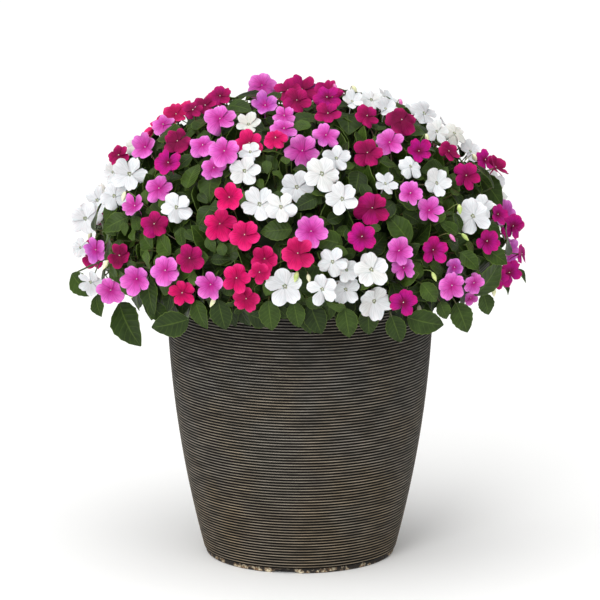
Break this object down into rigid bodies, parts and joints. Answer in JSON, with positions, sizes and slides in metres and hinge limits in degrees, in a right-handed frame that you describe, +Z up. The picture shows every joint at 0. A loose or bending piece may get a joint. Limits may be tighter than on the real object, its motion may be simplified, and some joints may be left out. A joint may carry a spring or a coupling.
{
  "type": "potted busy lizzie",
  "caption": "Round ribbed pot planted with busy lizzies in full flower: a dome of green leaves under white, orchid pink, rose and cranberry five-petalled blooms.",
  "frame": {"origin": "middle of the pot's flat foot, on the ground", "axes": "+Z up through the pot's axis, -Y towards the front, +X to the right of the front"},
  "size_m": [0.5643, 0.5531, 0.6011],
  "materials": {
    "pot": "dark bronze moulded resin with fine level ribs, rubbed lighter on the crests",
    "soil": "damp, crumbly dark potting mix",
    "leaf": "fresh green leaves and fleshy stems with a waxy half gloss",
    "petal_white": "soft matt white petals",
    "petal_pink": "soft matt orchid pink petals",
    "petal_rose": "soft matt hot rose petals",
    "petal_cranberry": "velvety matt cranberry petals"
  },
  "bodies": {
    "root": {"pot": "pot", "potting_soil": "soil", "plant_middle": "leaf", "plant_1": "leaf", "plant_2": "leaf", "plant_3": "leaf", "plant_4": "leaf", "plant_5": "leaf", "plant_6": "leaf", "blooms_white_1": "petal_white", "blooms_white_2": "petal_white", "blooms_white_3": "petal_white", "blooms_white_4": "petal_white", "blooms_white_5": "petal_white", "blooms_white_6": "petal_white", "blooms_white_7": "petal_white", "blooms_white_8": "petal_white", "blooms_white_9": "petal_white", "blooms_white_10": "petal_white", "blooms_pink_11": "petal_pink", "blooms_pink_12": "petal_pink", "blooms_pink_13": "petal_pink", "blooms_pink_14": "petal_pink", "blooms_pink_15": "petal_pink", "blooms_pink_16": "petal_pink", "blooms_pink_17": "petal_pink", "blooms_pink_18": "petal_pink", "blooms_pink_19": "petal_pink", "blooms_pink_20": "petal_pink", "blooms_cranberry_21": "petal_cranberry", "blooms_cranberry_22": "petal_cranberry", "blooms_cranberry_23": "petal_cranberry", "blooms_cranberry_24": "petal_cranberry", "blooms_cranberry_25": "petal_cranberry", "blooms_cranberry_26": "petal_cranberry", "blooms_cranberry_27": "petal_cranberry", "blooms_cranberry_28": "petal_cranberry", "blooms_cranberry_29": "petal_cranberry", "blooms_cranberry_30": "petal_cranberry", "blooms_cranberry_31": "petal_cranberry", "blooms_cranberry_32": "petal_cranberry", "blooms_rose_33": "petal_rose", "blooms_rose_34": "petal_rose", "blooms_rose_35": "petal_rose", "blooms_rose_36": "petal_rose", "blooms_cranberry_37": "petal_cranberry", "blooms_white_38": "petal_white", "blooms_pink_39": "petal_pink", "blooms_rose_40": "petal_rose", "blooms_white_41": "petal_white", "blooms_cranberry_42": "petal_cranberry", "blooms_pink_43": "petal_pink", "blooms_cranberry_44": "petal_cranberry", "blooms_white_45": "petal_white", "blooms_pink_46": "petal_pink", "blooms_rose_47": "petal_rose", "blooms_white_48": "petal_white", "blooms_cranberry_49": "petal_cranberry", "blooms_pink_50": "petal_pink", "blooms_cranberry_51": "petal_cranberry"}
  },
  "joints": []
}
